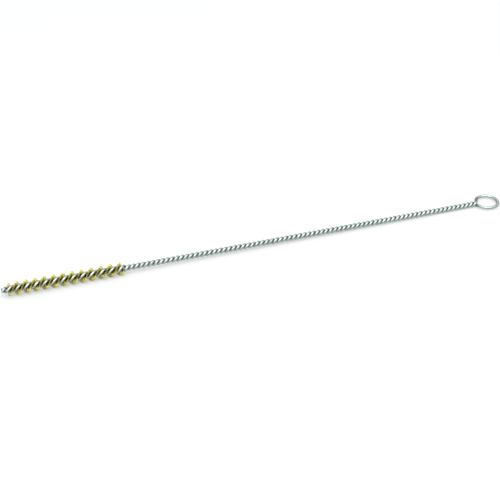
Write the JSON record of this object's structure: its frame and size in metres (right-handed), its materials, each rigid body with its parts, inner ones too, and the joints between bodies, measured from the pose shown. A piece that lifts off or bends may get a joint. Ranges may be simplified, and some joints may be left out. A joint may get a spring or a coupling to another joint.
{
  "type": "twisted-wire tip cleaning brush",
  "caption": "Twisted-in-wire cleaning brush: spiral brass filament head at the tip of a thin twisted steel wire stem that ends in a round hanging eye.",
  "frame": {"origin": "centre of the hanging eye, in the middle of the wire's thickness", "axes": "+X along the stem from the eye to the brush tip, +Y across the eye, +Z square to the eye's plane, up as the brush lies on a bench"},
  "size_m": [0.254, 0.0128, 0.0064],
  "materials": {
    "galvanised_wire": "bright zinc-coated steel wire, slightly mottled",
    "brass_filament": "fine drawn brass wire, yellow, semi-bright"
  },
  "bodies": {
    "root": {"stem_wire": "galvanised_wire", "bristle_tuft_01": "brass_filament", "bristle_tuft_02": "brass_filament", "bristle_tuft_03": "brass_filament", "bristle_tuft_04": "brass_filament", "bristle_tuft_05": "brass_filament", "bristle_tuft_06": "brass_filament", "bristle_tuft_07": "brass_filament", "bristle_tuft_08": "brass_filament", "bristle_tuft_09": "brass_filament", "bristle_tuft_10": "brass_filament", "bristle_tuft_11": "brass_filament", "bristle_tuft_12": "brass_filament", "bristle_tuft_13": "brass_filament", "bristle_tuft_14": "brass_filament", "bristle_tuft_15": "brass_filament", "bristle_tuft_16": "brass_filament", "bristle_tuft_17": "brass_filament", "bristle_tuft_18": "brass_filament", "bristle_tuft_19": "brass_filament", "bristle_tuft_20": "brass_filament", "bristle_tuft_21": "brass_filament", "bristle_tuft_22": "brass_filament", "bristle_tuft_23": "brass_filament", "bristle_tuft_24": "brass_filament", "bristle_tuft_25": "brass_filament"}
  },
  "joints": []
}
